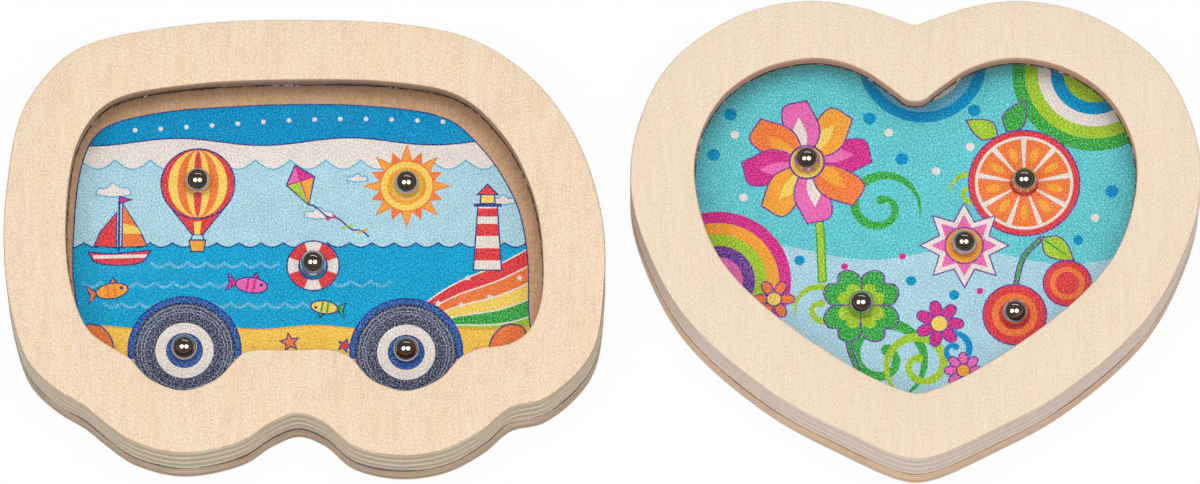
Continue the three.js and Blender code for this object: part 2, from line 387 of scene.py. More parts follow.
def ply_layers_group():
    """The stack of plies that a board's edge shows.

    Every other ply is laid crosswise. A ply is pale where its fibres end at the edge and dark where
    they run along it, and the two grow alike where the edge runs askew.
    """
    tree, given, made = new_tree(
        "ShaderNodeTree", "Ply layers",
        {
            "Ply Pale": "Color", "Ply Dark": "Color", "Glue": "Color", "Rim": "Color", "Stain": "Color",
            "Board Top": "Float", "Board Bottom": "Float", "Ply": "Float", "Cut": "Float",
            "Top Stain": "Float", "Bottom Stain": "Float", "Stain Reach": "Float",
        },
        {"Color": "Color", "Edge": "Float", "Height": "Float"},
    )
    coordinates = add(tree, "ShaderNodeTexCoord").outputs
    place = coordinates["Object"]
    normal = add(tree, "ShaderNodeSeparateXYZ", {0: coordinates["Normal"]}).outputs
    height = add(tree, "ShaderNodeSeparateXYZ", {0: place}).outputs["Z"]
    cut = given["Cut"]
    wander = maths(tree, "SUBTRACT", noise(tree, place, PLY_WAVE, cut), 0.5)
    height = maths(tree, "MULTIPLY_ADD", wander, PLY_WANDER, height)
    from_top = maths(tree, "SUBTRACT", given["Board Top"], height)
    from_bottom = maths(tree, "SUBTRACT", height, given["Board Bottom"])
    depth = maths(tree, "DIVIDE", from_top, given["Ply"])
    crosswise = maths(tree, "GREATER_THAN", maths(tree, "MODULO", depth, 2), 1)
    across = maths(tree, "POWER", normal["X"], 2)
    along = maths(tree, "POWER", normal["Y"], 2)
    total = maths(tree, "ADD", maths(tree, "ADD", across, along), 0.001)
    ends_x = maths(tree, "DIVIDE", across, total)
    ends_y = maths(tree, "DIVIDE", along, total)
    difference = maths(tree, "SUBTRACT", ends_x, ends_y)
    pale_share = maths(tree, "MULTIPLY_ADD", crosswise, difference, ends_y)
    coarse = noise(tree, place, COARSE_FIBRE, cut, detail=3, roughness=0.6)
    fine = noise(tree, place, FINE_FIBRE, cut, detail=1)
    speckle = maths(tree, "MULTIPLY_ADD", fine, 0.5, maths(tree, "MULTIPLY", coarse, 0.5))
    uneven = maths(tree, "SUBTRACT", speckle, 0.5)
    pale_share = maths(tree, "MULTIPLY_ADD", uneven, SPECKLE_STRENGTH, pale_share, clamp=True)
    shade = mixed(tree, pale_share, given["Ply Dark"], given["Ply Pale"])
    off_line = maths(tree, "PINGPONG", depth, 0.5)
    on_line = maths(tree, "SUBTRACT", 1, rising(tree, off_line, *GLUE_LINE))
    glue = maths(tree, "MULTIPLY", on_line, rising(tree, depth, *BELOW_FIRST_PLY))
    broken = maths(tree, "MULTIPLY", rising(tree, coarse, *BROKEN_GLUE), GLUE_STRENGTH)
    shade = mixed(tree, maths(tree, "MULTIPLY", glue, broken), shade, given["Glue"])
    spread = noise(tree, place, STAIN_PATCH, maths(tree, "ADD", cut, 3), detail=1)
    reach = maths(tree, "MULTIPLY", rising(tree, spread, *STAIN_SPREAD), given["Stain Reach"])
    ragged = maths(tree, "MULTIPLY", uneven, STAIN_RAGGED)
    for tone, stain, gap in (("Rim", "Top Stain", from_top), ("Stain", "Bottom Stain", from_bottom)):
        beyond = maths(tree, "SUBTRACT", maths(tree, "ADD", gap, ragged), reach)
        near = maths(tree, "MULTIPLY", rising(tree, beyond, STAIN_FADE, 0), given[stain])
        shade = mixed(tree, near, shade, given[tone])
    steep = maths(tree, "SUBTRACT", 1, maths(tree, "ABSOLUTE", normal["Z"]))
    wire(tree, made, {
        "Color": shade, "Edge": rising(tree, steep, *EDGE_STEEPNESS),
        "Height": maths(tree, "MULTIPLY_ADD", glue, -0.5, speckle),
    })
    return tree


def new_material(name):
    """A material with its node tree and its shader."""
    material = bpy.data.materials.new(name)
    material.use_nodes = True
    return material, material.node_tree, material.node_tree.nodes["Principled BSDF"]


def board_material(name, tones, cut, **sizes):
    """Plywood: veneer grain on its faces, the plies on its edges, and a stain where boards meet."""
    material, tree, shader = new_material(name)
    grain = add(tree, "ShaderNodeGroup", node_tree=wood_grain)
    plies = add(tree, "ShaderNodeGroup", node_tree=ply_layers)
    values = {**tones, **sizes, "cut": cut}
    for socket in (*grain.inputs, *plies.inputs):
        value = values[socket.name.lower().replace(" ", "_")]
        socket.default_value = colour(*value) if socket.type == "RGBA" else value
    is_edge = plies.outputs["Edge"]
    heights = {0: is_edge, 2: grain.outputs["Height"], 3: plies.outputs["Height"]}
    height = add(tree, "ShaderNodeMix", heights)
    wire(tree, shader, {
        "Base Color": mixed(tree, is_edge, grain.outputs["Color"], plies.outputs["Color"]),
        "Roughness": maths(tree, "MULTIPLY_ADD", height, ROUGHER_WHERE_HIGH, WOOD_ROUGHNESS),
        "Specular IOR Level": 0.3,
        "Normal": bumpy(tree, height, 0.25, WOOD_RELIEF),
    })
    return material


BIRCH = {
    "van": {
        "pale": (252, 231, 204), "streak": (228, 197, 164),
        "ruddy": (244, 208, 168), "cool": (244, 225, 206),
        "ply_pale": (232, 214, 188), "ply_dark": (188, 170, 144), "glue": (150, 130, 106),
        "rim": (190, 154, 118), "stain": (66, 46, 34), "stain_reach": 1.0 * MM,
    },
    "heart": {
        "pale": (247, 231, 208), "streak": (229, 206, 177),
        "ruddy": (244, 216, 186), "cool": (238, 225, 206),
        "ply_pale": (246, 228, 212), "ply_dark": (220, 200, 184), "glue": (160, 132, 112),
        "rim": (214, 166, 130), "stain": (128, 86, 56), "stain_reach": 0.6 * MM,
    },
}
FLOOR_PLY = {
    "van": {
        **BIRCH["van"],
        "pale": (238, 198, 158), "streak": (214, 164, 124),
        "ruddy": (224, 174, 128), "cool": (228, 190, 160),
        "ply_pale": (230, 204, 176), "ply_dark": (186, 158, 130),
        "rim": (66, 46, 34), "stain_reach": 0.75 * MM,
    },
    "heart": {
        **BIRCH["heart"],
        "pale": (238, 208, 176), "streak": (214, 172, 136),
        "ruddy": (226, 180, 140), "cool": (224, 198, 172),
        "ply_pale": (252, 216, 182), "ply_dark": (236, 190, 150),
        "rim": (128, 86, 56), "stain_reach": 0.5 * MM,
    },
}
BACK_PLY = {
    "van": {**BIRCH["van"], "ply_pale": (214, 186, 158), "ply_dark": (172, 144, 116)},
    "heart": {**BIRCH["heart"], "ply_pale": (244, 210, 176), "ply_dark": (216, 186, 160)},
}
board_edge = board_edge_tree()
wood_grain = wood_grain_group()
ply_layers = ply_layers_group()
for cut, puzzle in enumerate(PUZZLES):
    node = f"{puzzle}_back_panel"
    bottom, top = (corner.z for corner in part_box(node))
    outlines = [smoothed(outline) for outline in flat_outlines(node, top)]
    ply = (top - bottom) / PLIES_IN_PANEL
    veneer = board_material(
        f"{puzzle} back panel plywood", BACK_PLY[puzzle], cut + 0.3,
        board_top=top, board_bottom=bottom, ply=ply, top_stain=0.2, bottom_stain=0.15,
    )
    back = board(
        f"{puzzle}_back_board", ply,
        [(outlines, False, bottom, top, PANEL_EASE, JOINT_EASE, veneer)],
        [(bottom, -1), (top, 1)], veneer,
    )
    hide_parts(node)
    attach(back, f"{puzzle}_puzzle")

# Floor panels: the plywood that the balls run over, with a hole drilled through at each seat.
# It is glued on the back panel, and its bare top shows round the picture.
for cut, puzzle in enumerate(PUZZLES):
    node = f"{puzzle}_floor_panel"
    bottom, top = (corner.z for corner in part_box(node))
    outer, *seats = (smoothed(outline) for outline in flat_outlines(node, top))
    ply = (top - bottom) / PLIES_IN_PANEL
    veneer = board_material(
        f"{puzzle} floor panel plywood", FLOOR_PLY[puzzle], cut + 0.6,
        board_top=top, board_bottom=bottom, ply=ply, top_stain=0.9, bottom_stain=0.5,
    )
    floor_board = board(
        f"{puzzle}_floor_board", ply,
        [
            ([outer], False, bottom, top, JOINT_EASE, JOINT_EASE, veneer),
            (seats, True, bottom, top, 0, 0, veneer),
        ],
        [(bottom, -1), (top, 1)], veneer,
    )
    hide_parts(node)
    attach(floor_board, f"{puzzle}_puzzle")

# Pictures: printed card, glued to the floor panel and punched with a hole at each seat. Inks lie
# in flat patches with a thin drawn line round the main ones, and the card's tooth shows through
# as a fine speckle. Each picture is one sheet cut into its patches, so that every edge is sharp.
PRINT_TOOTH = (0.38 * MM, 0.38 * MM, 0.38 * MM)
PRINT_BLOTCH = (4 * MM, 4 * MM, 4 * MM)
PRINT_RELIEF = 0.02 * MM
PRINT_ROUGHNESS = 0.5
ROUGHER_ON_TOOTH = 0.2
DISPLAY_GAMMA = 2.2
DARK_INK, PALE_INK = 0.44, 0.94
DARK_GRAIN, PALE_GRAIN = 2.0, 0.65
BLOTCH_GRAIN = 0.1
GRAIN_BY_TONE = (2.5, 2.5, 2.5)
LEAST_GRAIN = (0.3, 0.3, 0.3)
DRAWN_LINE = 0.36
TRIM_LINE = 0.3
CURVE_STEPS = 5
STEPS_PER_DIP = 6
STEPS_ROUND = 16
DRAWN_CORNER = math.radians(80)
SHARPEST_MITRE = 0.5
SWELL_STEP = 1.5
LEAF_PLUMPNESS = 0.28
CURL_STEPS = 26
CURL_WINDS_IN = 0.82
CURL_BEAD = 0.42
RAYS = 16
SLOPE_STEPS = 30
INK = {name: colour(*tone) for name, tone in {
    "deep blue": (8, 150, 206), "sea blue": (20, 168, 216), "light blue": (110, 187, 220),
    "pale blue": (178, 220, 235), "off-white": (240, 230, 224), "yellow": (252, 216, 104),
    "sand": (252, 204, 89), "amber": (252, 170, 66), "orange": (248, 131, 70), "red": (229, 70, 76),
    "magenta": (218, 55, 144), "pink": (240, 114, 187), "purple": (119, 70, 159),
    "green": (66, 174, 78), "lime": (170, 208, 59), "turquoise": (104, 207, 217),
    "navy": (45, 64, 138), "royal blue": (54, 98, 176), "slate": (83, 89, 112),
    "dark slate": (60, 64, 86), "grey slate": (146, 154, 174), "card": (246, 242, 233),
}.items()}


def widened(outline, by):
    """The outline moved outwards by a distance, or inwards where that is below zero."""
    outline = anticlockwise(outline)
    moved = []
    for before, here, after in zip([outline[-1], *outline[:-1]], outline, [*outline[1:], outline[0]]):
        arriving = (here - before).normalized()
        leaving = (after - here).normalized()
        way = (arriving + leaving).normalized()
        spread = max(way.dot(arriving), SHARPEST_MITRE)
        moved.append(here + Vector((way.y, -way.x)) * by / spread)
    return moved


def inked(outline, ink, line=None):
    """A patch of ink, with a drawn line round it where one is named."""
    outline = [Vector(place) for place in outline]
    if not line:
        return [(anticlockwise(outline), ink)]
    return [(widened(outline, DRAWN_LINE / 2), line), (widened(outline, -DRAWN_LINE / 2), ink)]


def spoke(degrees, reach=1.0):
    """The place that far from zero, at an angle anticlockwise from +X."""
    angle = math.radians(degrees)
    return Vector((math.cos(angle), math.sin(angle))) * reach


def arc(middle, radius, start, end):
    """Points along an arc, its angles in degrees."""
    steps = max(4, round(abs(end - start) / 360 * STEPS_ROUND * math.sqrt(radius + 1)))
    return [Vector(middle) + spoke(start + (end - start) * i / steps, radius) for i in range(steps + 1)]


def disc(middle, radius):
    return arc(middle, radius, 0, 360)[:-1]


def rings(middle, *bands):
    """Discs about one middle, later over earlier, each with its radius, ink and perhaps line."""
    return [patch for radius, *inks in bands for patch in inked(disc(middle, radius), *inks)]


def placed(outline, middle, size=1.0, turn=0):
    """An outline drawn about zero, made that many times larger, turned and moved to its middle."""
    cos, sin = math.cos(math.radians(turn)) * size, math.sin(math.radians(turn)) * size
    return [Vector(middle) + Vector((x * cos - y * sin, x * sin + y * cos)) for x, y in outline]


def stamped(middle, *shapes, size=1.0, turn=0):
    """Shapes drawn about zero and placed as one, each with its outline, ink and perhaps line."""
    patches = []
    for outline, *inks in shapes:
        patches += inked(placed(outline, middle, size, turn), *inks)
    return patches


def oval(middle, half_wide, half_tall, turn=0):
    """An ellipse, turned anticlockwise by some degrees."""
    longest = max(half_wide, half_tall)
    level = [(x * half_wide / longest, y * half_tall / longest) for x, y in disc((0, 0), longest)]
    return placed(level, middle, turn=turn)


def sector(middle, inner, outer, start, end):
    """Part of a ring, between two radii and two angles."""
    return arc(middle, outer, start, end) + arc(middle, inner, end, start)


def ribbon(path, width, end_width=None):
    """A band of ink along a path, its width going evenly from one to the other."""
    end_width = width if end_width is None else end_width
    path = [Vector(place) for place in path]
    left, right = [], []
    for i, here in enumerate(path):
        way = (path[min(i + 1, len(path) - 1)] - path[max(i - 1, 0)]).normalized()
        half = (width + (end_width - width) * i / (len(path) - 1)) / 2
        left.append(here + Vector((-way.y, way.x)) * half)
        right.append(here - Vector((-way.y, way.x)) * half)
    return right + left[::-1]


def curve_through(*places, closed=False):
    """A smooth curve through a few places."""
    points = [Vector(place) for place in places]
    if closed:
        return smoothed(points, CURVE_STEPS, DRAWN_CORNER)
    first, last = points[0] * 2 - points[1], points[-1] * 2 - points[-2]
    whole = smoothed([first, *points, last], CURVE_STEPS, DRAWN_CORNER)
    return whole[CURVE_STEPS:CURVE_STEPS * len(points) + 1]


def star(middle, outer, inner, points, turn=90):
    """A star with that many points, the first at the turn."""
    reaches = [outer, inner] * points
    return [Vector(middle) + spoke(turn + 180 * i / points, reach) for i, reach in enumerate(reaches)]


def leaf(root, tip):
    """A pointed leaf from its root to its tip."""
    along = tip - root
    across = Vector((-along.y, along.x)) * LEAF_PLUMPNESS
    sides = [
        root, root + along * 0.3 + across, root + along * 0.65 + across * 0.8, tip,
        root + along * 0.65 - across * 0.8, root + along * 0.3 - across,
    ]
    return smoothed(sides, CURVE_STEPS, DRAWN_CORNER)


def scallops(start, end, count, dip):
    """A row of round dips between two places."""
    start, end = Vector(start), Vector(end)
    width = (end - start) / count
    points = []
    for i in range(count):
        for share in (step / STEPS_PER_DIP for step in range(STEPS_PER_DIP)):
            points.append(start + width * (i + share) - Vector((0, dip * math.sin(math.pi * share))))
    return [*points, end]


def swell(start, end, rise, length, phase=0.0):
    """A wavy line between two places."""
    start, end = Vector(start), Vector(end)
    count = max(8, round((end - start).length / SWELL_STEP))
    points = (start.lerp(end, i / count) for i in range(count + 1))
    return [p + Vector((0, rise * math.sin(p.x / length * 2 * math.pi + phase))) for p in points]


def down_to(line, depth):
    """The area under a line, down to a depth."""
    return [(line[0][0], depth), (line[-1][0], depth), *line[::-1]]


def curl(root, reach, turns, start, way, width, ink):
    """A scroll that springs from its root as a point, winds inwards and ends in a round bead."""
    steps = round(turns * CURL_STEPS)
    left, right = [], []
    for i in range(steps + 1):
        share = i / steps
        out = spoke(start + way * turns * 360 * share)
        here = out * reach * (1 - CURL_WINDS_IN * share)
        half = width / 2 * min(1, share * 3.2) ** 0.7 * (1 - 0.5 * share)
        left.append(here + out * half)
        right.append(here - out * half)
    shift = Vector(root) - left[0]
    band = [p + shift for p in right + left[::-1][:-1]]
    return inked(band, ink) + rings(here + shift, (width * CURL_BEAD, ink))


def printed_sheet(name, outline, holes, patches, middle, bottom, top, trim, material):
    """A closed thin sheet with its top cut into ink patches, the later ones over the earlier.

    The outline and the holes are in metres, and the patches in millimetres from the middle.
    """
    plain = INK["card"]
    inks = [trim, plain]
    loops = [outline, widened(outline, -TRIM_LINE * MM)]
    for patch, ink in patches:
        loops.append([middle + place * MM for place in patch])
        inks.append(INK[ink])
    first_hole = len(loops)
    loops += holes
    numbers = iter(range(sum(len(loop) for loop in loops)))
    faces = [[next(numbers) for _ in loop] for loop in loops]
    cuts = delaunay_2d_cdt([place for loop in loops for place in loop], [], faces, 1, SAME_PLACE / 4, True)
    places, triangles, sources = cuts[0], cuts[2], cuts[5]
    inside = [
        (triangle, max(source) if 1 in source else 0) for triangle, source in zip(triangles, sources)
        if 0 in source and max(source) < first_hole
    ]
    used = sorted({vert for triangle, _ in inside for vert in triangle})
    order = {vert: i for i, vert in enumerate(used)}
    count = len(used)
    upper = [tuple(order[vert] for vert in triangle) for triangle, _ in inside]
    lower = [tuple(vert + count for vert in reversed(face)) for face in upper]
    sides = {(a, b) for face in upper for a, b in zip(face, face[1:] + face[:1])}
    walls = [(b, a, a + count, b + count) for a, b in sorted(sides) if (b, a) not in sides]
    mesh = bpy.data.meshes.new(name)
    levels = [(*places[vert], height) for height in (top, bottom) for vert in used]
    mesh.from_pydata(levels, [], upper + lower + walls)
    ink_layer = mesh.color_attributes.new("ink", "FLOAT_COLOR", "CORNER")
    tones = [inks[source] for _, source in inside] + [plain] * (len(lower) + len(walls))
    for face, tone in zip(mesh.polygons, tones):
        for corner in face.loop_indices:
            ink_layer.data[corner].color = tone
    mesh.materials.append(material)
    return in_scene(name, mesh)


def print_material():
    """Ink on toothed card: the sheet's own ink patches under a fine speckle, with a dull surface.

    The speckle is added in the tones that the eye sees. It is strongest on dark inks, and spares the
    parts of a colour that are near black.
    """
    material, tree, shader = new_material("printed card")
    place = add(tree, "ShaderNodeTexCoord").outputs["Object"]
    ink = add(tree, "ShaderNodeAttribute", attribute_name="ink").outputs["Color"]
    tooth = noise(tree, place, PRINT_TOOTH, detail=1, roughness=0.7)
    blotch = noise(tree, place, PRINT_BLOTCH, cut=3)
    seen = add(tree, "ShaderNodeGamma", {"Color": ink, "Gamma": 1 / DISPLAY_GAMMA}).outputs[0]
    brightness = add(tree, "ShaderNodeSeparateColor", {0: seen}, mode="HSV").outputs["Blue"]
    strength = add(tree, "ShaderNodeMapRange", {
        "Value": brightness, "From Min": DARK_INK, "From Max": PALE_INK,
        "To Min": DARK_GRAIN, "To Max": PALE_GRAIN,
    })
    grain = maths(tree, "MULTIPLY", maths(tree, "SUBTRACT", tooth, 0.5), strength)
    grain = maths(tree, "MULTIPLY_ADD", maths(tree, "SUBTRACT", blotch, 0.5), BLOTCH_GRAIN, grain)
    room = vector_maths(tree, "MULTIPLY_ADD", seen, GRAIN_BY_TONE, LEAST_GRAIN)
    room = vector_maths(tree, "MINIMUM", room, (1, 1, 1))
    specked = vector_maths(tree, "MULTIPLY_ADD", room, grain, seen)
    specked = vector_maths(tree, "MAXIMUM", specked, (0, 0, 0))
    wire(tree, shader, {
        "Base Color": add(tree, "ShaderNodeGamma", {"Color": specked, "Gamma": DISPLAY_GAMMA}),
        "Roughness": maths(tree, "MULTIPLY_ADD", tooth, ROUGHER_ON_TOOTH, PRINT_ROUGHNESS),
        "Specular IOR Level": 0.05,
        "Normal": bumpy(tree, tooth, 0.2, PRINT_RELIEF),
    })
    return material


def balloon(middle, radius):
    """A hot-air balloon in upright gores, over its basket."""
    foot = -1.45 * radius
    neck = -1.08 * radius
    wide, low = 0.72 * radius, -0.7 * radius
    throat = [(-wide, low), (wide, low), (1.3, foot), (-1.3, foot)]
    patches = stamped(middle, (throat, "red", "navy"), (disc((0, 0), radius), "red", "navy"))
    for share, ink in ((0.8, "yellow"), (0.56, "orange"), (0.32, "yellow"), (0.12, "red")):
        patches += inked(oval(middle, radius * share, radius * 0.96), ink)
    return patches + stamped(
        middle,
        ([(-0.9, neck), (0.9, neck), (0.6, foot), (-0.6, foot)], "yellow"),
        (ribbon([(-1.1, foot), (-1.6, foot - 1.6)], 0.3), "navy"),
        (ribbon([(1.1, foot), (1.6, foot - 1.6)], 0.3), "navy"),
        ([(-1.9, foot - 1.4), (-1.5, foot - 4.2), (1.5, foot - 4.2), (1.9, foot - 1.4)], "amber", "navy"),
    )


def sun(middle, radius):
    """A sun with pointed rays."""
    patches = []
    for i in range(RAYS):
        tip = radius * (1.4 if i % 2 else 1.62)
        ray = [(radius * 0.98, -1.25), (tip, 0), (radius * 0.98, 1.25)]
        patches += stamped(middle, (ray, "orange" if i % 2 else "amber", "orange"), turn=360 / RAYS * i)
    return patches + rings(
        middle, (radius, "yellow", "orange"), (radius * 0.74, "amber"), (radius * 0.58, "yellow"),
    )


def kite(middle, size):
    """A four-coloured kite and its tail."""
    corners = ((0, 1), (0.72, 0.15), (0, -1.15), (-0.72, 0.15), (0, 0.15))
    top, right, foot, left, cross = (Vector(corner) * size for corner in corners)
    tail = swell(foot, Vector((2.3, -3.6)) * size, 0.7, 4.4)
    shapes = [(ribbon(tail, 0.4), "navy")]
    for share, ink in ((0.35, "magenta"), (0.62, "lime"), (0.9, "amber")):
        knot = tail[round(share * (len(tail) - 1))]
        for side in (-1.2, 1.2):
            bow = [knot, knot + Vector((side, side / 2)), knot + Vector((side, -side / 2))]
            shapes.append((bow, ink))
    shapes.append(([top, left, foot, right], "magenta", "navy"))
    for quarter, ink in (
        ([top, left, cross], "pink"), ([cross, foot, right], "amber"), ([left, foot, cross], "lime"),
    ):
        shapes.append((widened(quarter, -0.2), ink))
    return stamped(middle, *shapes, turn=18)


def lighthouse(foot, height):
    """A striped lighthouse."""
    def stage(low, high, extra=0.0):
        """The tower between two shares of its height, that much wider at each side."""
        ends = ((-1, low), (1, low), (1, high), (-1, high))
        return [(side * (3.3 - 1.3 * share + extra), height * share) for side, share in ends]

    return stamped(
        foot,
        (stage(0, 0.8), "off-white", "navy"),
        (stage(0.12, 0.27, -0.15), "red"),
        (stage(0.42, 0.57, -0.15), "red"),
        (stage(0.66, 0.76, -0.15), "red"),
        (stage(0.78, 0.82, 1.0), "navy"),
        (stage(0.82, 0.93, -0.5), "yellow", "navy"),
        ([*stage(0.93, 1, 0.3)[:2], (0, height * 1.06)], "red", "navy"),
    )


def sailboat(keel, size):
    """A boat under two sails."""
    hull = curve_through(
        (-1, 0), (-0.2, -0.06), (1.05, 0.06), (0.72, -0.36), (0, -0.46), (-0.74, -0.36), closed=True,
    )
    return stamped(
        keel,
        (ribbon([(0, 0), (0, 1.75)], 0.07), "navy"),
        ([(0.1, 0.14), (0.92, 0.2), (0.66, 0.75), (0.1, 1.66)], "orange", "navy"),
        ([(0.13, 0.62), (0.73, 0.62), (0.6, 0.84), (0.13, 0.98)], "yellow"),
        ([(-0.08, 1.35), (-0.62, 0.66), (-0.8, 0.2), (-0.08, 0.14)], "red", "navy"),
        ([(0, 1.9), (0, 1.66), (0.42, 1.78)], "magenta", "navy"),
        (hull, "red", "navy"),
        ([(-0.86, -0.12), (0.93, -0.08), (0.86, -0.2), (-0.8, -0.24)], "off-white"),
        size=size,
    )


def lifebuoy(middle, inner, outer):
    """A life ring in quarters of two colours."""
    patches = rings(middle, (outer, "off-white", "navy"))
    for start in range(20, 380, 90):
        patches += inked(sector(middle, inner, outer - DRAWN_LINE / 2, start, start + 50), "red")
    return patches + rings(middle, (inner, "sea blue", "navy"))


def fish(middle, length, turn, ink, fin):
    """A plain fish."""
    stripes = (
        ([(x - 0.04, -0.2), (x + 0.04, -0.2), (x + 0.04, 0.2), (x - 0.04, 0.2)], fin)
        for x in (-0.12, 0.08)
    )
    return stamped(
        middle,
        ([(-0.42, 0), (-0.78, 0.3), (-0.68, 0), (-0.78, -0.3)], fin, "navy"),
        ([(-0.1, 0.18), (0.1, 0.42), (0.24, 0.16)], fin, "navy"),
        (oval((0, 0), 0.5, 0.25), ink, "navy"),
        *stripes,
        (disc((0.3, 0.05), 0.055), "navy"),
        size=length, turn=turn,
    )


def ring_target(middle, outer):
    """Round bands about a seat, dark outside and pale within, under a blue arch."""
    bands = [(outer + 1.35, "royal blue", "navy"), (outer + 0.05, "dark slate"), (outer - 0.35, "slate")]
    for radius in (outer - 0.7, outer - 1.6, outer - 2.3):
        bands += [(radius, "grey slate"), (radius - 0.22, "slate")]
    return rings(
        middle, *bands, (outer * 0.585, "dark slate"), (outer * 0.575, "off-white"),
        (outer * 0.365, "dark slate"), (outer * 0.35, "royal blue"),
    )


def dots(places, radius, ink):
    """Small dots at some places."""
    return [patch for place in places for patch in rings(place, (radius, ink))]


def seaside(seats):
    """The van's picture: sky, sea and sand, with a thing to find at each of its five seats."""
    left, right, foot, top = -62, 62, -45, 45
    patches = inked(down_to([(left, top), (right, top)], foot), "pale blue")
    patches += inked(down_to([(left, top), (right, top)], 15), "off-white")
    clouds = scallops((left + 1, 22.6), (right, 22.6), 15, 2.3)
    patches += inked(down_to(clouds, foot), "pale blue", "light blue")
    sky = [*swell((left, 27), (right, 27.4), 0.9, 40), (right, top), (left, top)]
    patches += inked(sky, "deep blue", "navy")
    patches += dots([(x, 31.2 + 1.6 * math.sin(x)) for x in range(-40, 44, 6)], 0.55, "off-white")
    puff = curve_through(
        (-4, 0), (-3.4, 1.6), (-1.6, 1.7), (0, 3), (1.8, 1.8), (3.6, 1.7), (4.2, 0), (0, -0.5), closed=True,
    )
    for x, y, size in ((-45, 14, 1.0), (3, 8.5, 0.85), (12, 17.5, 0.6), (46, 12, 0.7)):
        patches += stamped((x, y), (puff, "off-white", "light blue"), size=size)
    patches += inked(down_to(scallops((left, 2.2), (right, 2.2), 24, 1.1), foot), "sea blue", "navy")
    patches += sailboat((-43.5, 0), 7.2)
    for y, start, end, count in (
        (-2.6, -36, -6, 7), (-7.5, -52, -18, 8), (-12.5, -47, 8, 13), (-7.2, 6, 20, 3),
    ):
        patches += inked(ribbon(scallops((start, y), (end, y), count, 1.2), 0.65), "light blue")
    patches += fish((-45, -9.6), 7.6, 10, "amber", "orange")
    patches += fish((-12.5, -8.2), 7.6, -8, "pink", "magenta")
    patches += fish((4.5, -13.6), 6.4, 172, "yellow", "green")
    for height, start, ink in (
        (23, 8, "red"), (18.5, 11, "orange"), (14, 14, "yellow"), (9.6, 17, "green"), (4.8, 21, "lime"),
    ):
        slope = []
        for share in (i / SLOPE_STEPS for i in range(SLOPE_STEPS + 1)):
            climb = share * share * (3 - 2 * share)
            x = start + (right - start) * share
            slope.append((x, -20 + height * climb + 0.8 * math.sin(x / 4.2)))
        patches += inked(down_to(slope, foot), ink, "off-white")
    for place in ((31, -12.6), (38, -6.4), (45, -3.4), (50, -6.5), (36.5, -13), (43, -11)):
        patches += inked(star(place, 0.9, 0.4, 5), "off-white")
    patches += lighthouse((42.5, -4.5), 20)
    beach = swell((left, -18.6), (right, -18.6), 0.5, 26, 1.0)
    patches += inked(down_to(beach, foot), "sand", "amber")
    patches += dots([(x, -22.4 + 1.5 * math.sin(2.3 * x)) for x in range(-44, 46, 4)], 0.32, "amber")
    patches += inked(star((-3.5, -22.2), 2.3, 1.0, 5, 100), "orange", "navy")
    patches += inked(star((9.3, -23), 1.7, 0.75, 5, 70), "red", "navy")
    rock = curve_through(
        (-4.6, -8), (-3.9, 0.4), (-1.2, 2.2), (1.8, 1.4), (4.2, -2), (4.8, -8), closed=True,
    )
    for x, lean in ((-49, 1), (47.5, -1)):
        patches += stamped((x, -20), ([(p.x * lean, p.y) for p in rock], "orange", "navy"))
    patches += balloon(seats[0], 8.6) + sun(seats[1], 6.2)
    patches += kite((-1, 16.8), 4.8) + lifebuoy(seats[2], 3.3, 6.1)
    return patches + ring_target(seats[3], 11.8) + ring_target(seats[4], 11.8)


def pinwheel(middle, reach):
    """A toy windmill of folded vanes on its stick."""
    foot = middle + Vector((3.5, -reach * 1.9))
    stick = curve_through(middle, middle.lerp(foot, 0.5) + Vector((1.0, 0)), foot)
    patches = inked(ribbon(stick, 1.8), "lime", "green")
    vane = curve_through((0, 0), (0.5, -0.2), (0.98, 0.0), (0.86, 0.36), (0.42, 0.3), closed=True)
    fold = curve_through((0.06, 0.03), (0.44, 0.0), (0.72, 0.12), (0.4, 0.22), closed=True)
    tones = (("magenta", "pink"), ("amber", "yellow"), ("pink", "off-white"), ("orange", "amber"))
    for i in range(8):
        outer, inner = tones[i % 4]
        patches += stamped(middle, (vane, outer, "purple"), (fold, inner), size=reach, turn=45 * i)
    return patches + rings(middle, (4.3, "purple"), (3.8, "yellow"))


def citrus_slice(middle, radius):
    """A slice of citrus: rind, pith and nine segments."""
    patches = rings(middle, (radius, "red", "purple"), (radius - 1.5, "off-white"))
    for start in range(10, 370, 40):
        patches += inked(sector(middle, 2.4, radius - 2.2, start + 3.5, start + 36.5), "orange")
        bead = middle + spoke(start + 20) * radius * 0.56
        patches += inked(oval(bead, radius * 0.15, radius * 0.065, start + 20), "amber")
    return patches + rings(middle, (3.4, "red"), (2.6, "amber"))


def clover(middle, reach):
    """A four-leaf clover and its stalk."""
    stalk = curve_through(middle, middle + Vector((-3, -reach * 0.9)), middle + Vector((-1, -reach * 1.7)))
    patches = inked(ribbon(stalk, 1.5, 1.0), "green", "purple")
    lobe = curve_through(
        (0, 0), (0.5, -0.5), (0.88, -0.46), (1.0, -0.2), (0.86, 0.0), (1.0, 0.2), (0.88, 0.46), (0.5, 0.5),
        closed=True,
    )
    for turn in range(45, 405, 90):
        patches += stamped(middle, (lobe, "green", "purple"), size=reach, turn=turn)
        patches += stamped(middle, (lobe, "lime"), size=reach * 0.62, turn=turn)
    return patches + rings(middle, (2.2, "yellow", "purple"))


